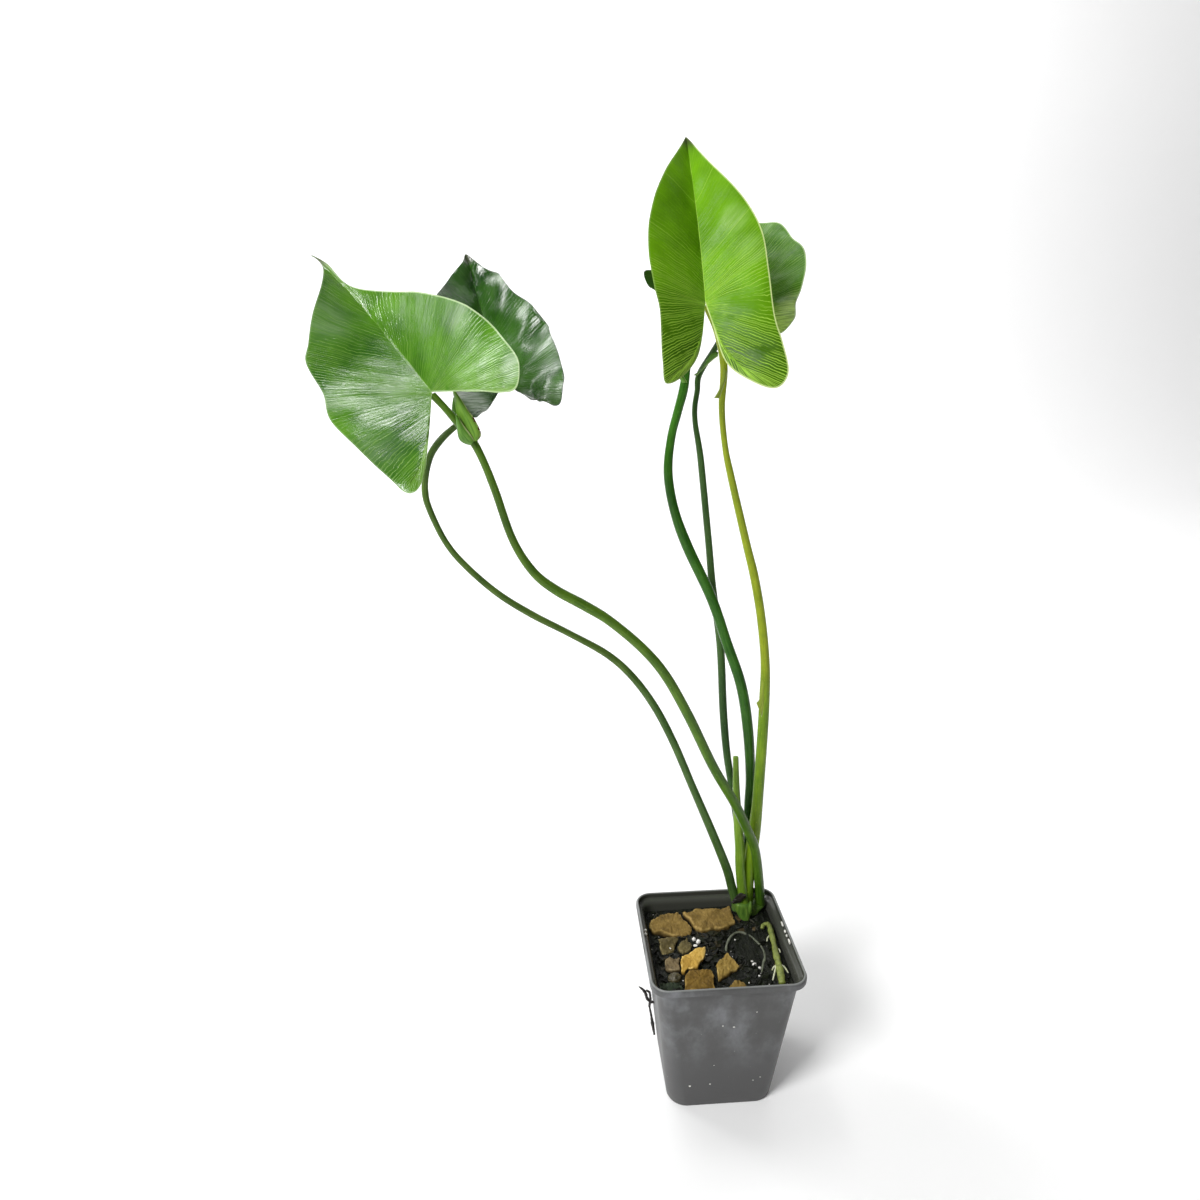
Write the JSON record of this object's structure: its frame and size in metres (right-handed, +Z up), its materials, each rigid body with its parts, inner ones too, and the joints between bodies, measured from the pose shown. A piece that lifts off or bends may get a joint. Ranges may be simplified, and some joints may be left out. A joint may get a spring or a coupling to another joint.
{
  "type": "potted aroid house plant",
  "caption": "Potted thaumatophyllum tweedieanum: arrow-shaped leaves on long arching stalks, standing in a square tapered nursery pot of bark mix.",
  "frame": {"origin": "centre of the pot's underside", "axes": "+Z up along the plant's height, -Y toward the viewer of the picture, +X to the viewer's right"},
  "size_m": [0.285, 0.2113, 0.5992],
  "materials": {
    "black_plastic": "satin",
    "potting_mix": "rough and moist",
    "green_stem": "smooth, slightly waxy living skin",
    "dry_sheath": "dry and wrinkled",
    "mid_green_leaf": "smooth with a soft gloss",
    "yellow_green_leaf": "smooth with a soft gloss",
    "dark_green_leaf": "glossy",
    "tan_husk": "rough",
    "grey_husk": "rough",
    "orange_husk": "rough",
    "dark_bark": "rough",
    "leaf_scrap": "dull",
    "grey_root": "dull",
    "runner": "smooth",
    "dark_root": "dry",
    "perlite": "rough"
  },
  "bodies": {
    "root": {"pot": "black_plastic", "potting_mix": "potting_mix", "crown": "green_stem", "old_sheath": "dry_sheath", "blade_front_left": "mid_green_leaf", "blade_front_right": "yellow_green_leaf", "blade_back_left": "dark_green_leaf", "blade_back_right": "mid_green_leaf", "blade_rear": "dark_green_leaf", "stalk_front_left": "green_stem", "stalk_front_right": "green_stem", "stalk_back_left": "green_stem", "stalk_back_right": "green_stem", "stalk_rear": "green_stem", "stalk_cut": "green_stem", "chip_back_left": "tan_husk", "chip_back_right": "tan_husk", "chip_ochre": "tan_husk", "chip_square": "tan_husk", "chip_small": "tan_husk", "chip_grey_left": "grey_husk", "chip_grey_right": "grey_husk", "chip_pink": "grey_husk", "chip_orange": "orange_husk", "lump": "dark_bark", "leaf_scrap": "leaf_scrap", "root_loop": "grey_root", "runner": "runner", "wall_root": "dark_root", "perlite_1": "perlite", "perlite_2": "perlite", "perlite_3": "perlite", "perlite_4": "perlite", "perlite_5": "perlite"}
  },
  "joints": []
}
